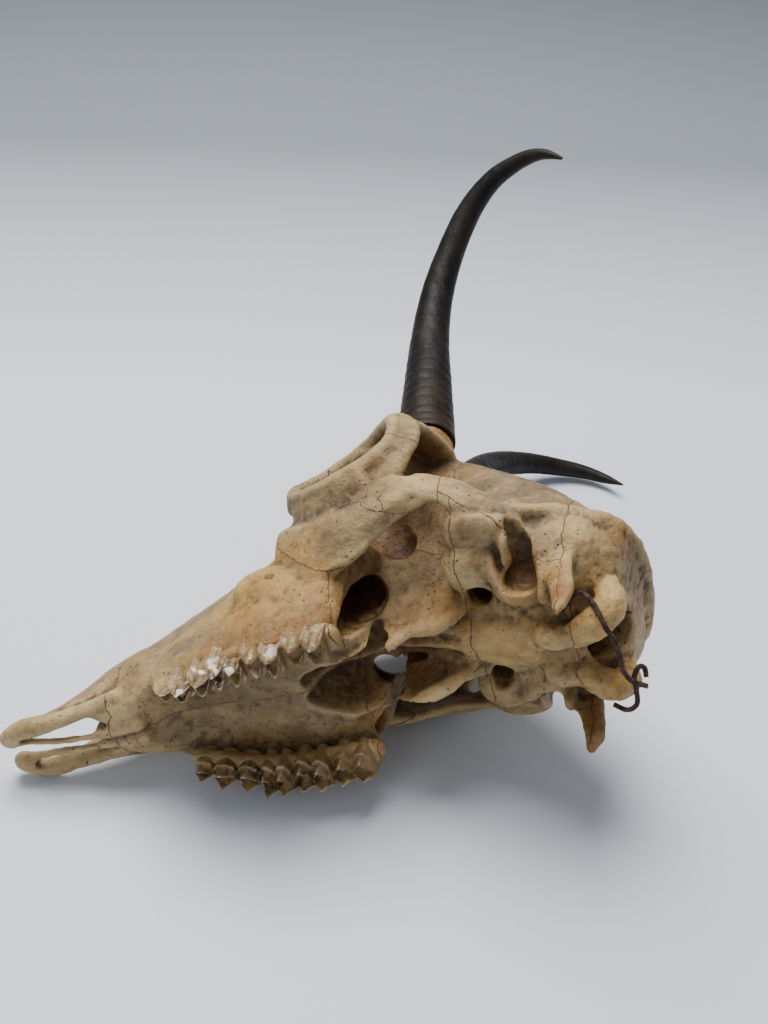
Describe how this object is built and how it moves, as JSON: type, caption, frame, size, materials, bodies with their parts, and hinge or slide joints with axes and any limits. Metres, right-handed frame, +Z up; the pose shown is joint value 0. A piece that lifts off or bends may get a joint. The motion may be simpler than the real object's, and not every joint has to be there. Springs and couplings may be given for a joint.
{
  "type": "chamois skull with horns",
  "caption": "Chamois cranium without its lower jaw, with both hooked black horns, lying on its right side, and a rusty wire at its rear opening.",
  "frame": {"origin": "middle of the bounding box at the table's height, under the skull as it lies on its right side", "axes": "+Z up from the table, across the skull from its right side to its left; +Y to the far side, where the horns point; -X roughly the way the snout points"},
  "size_m": [0.2178, 0.196, 0.1471],
  "materials": {
    "bone": "matte",
    "stained_bone": "matte",
    "horn": "satin",
    "wire": "matte"
  },
  "bodies": {
    "root": {"premaxilla_left": "bone", "premaxilla_right": "bone", "maxilla_left": "bone", "maxilla_right": "bone", "nasal_bones": "bone", "cheekbone_left": "bone", "cheekbone_right": "bone", "frontal_bone": "bone", "parietal_bone": "bone", "sphenoid_bone": "bone", "temporal_base": "bone", "occipital_bone": "stained_bone", "horn_core_left": "stained_bone", "horn_core_right": "stained_bone", "horn_sheath_left": "horn", "horn_sheath_right": "horn", "wire_over": "wire", "wire_loop": "wire"}
  },
  "joints": []
}
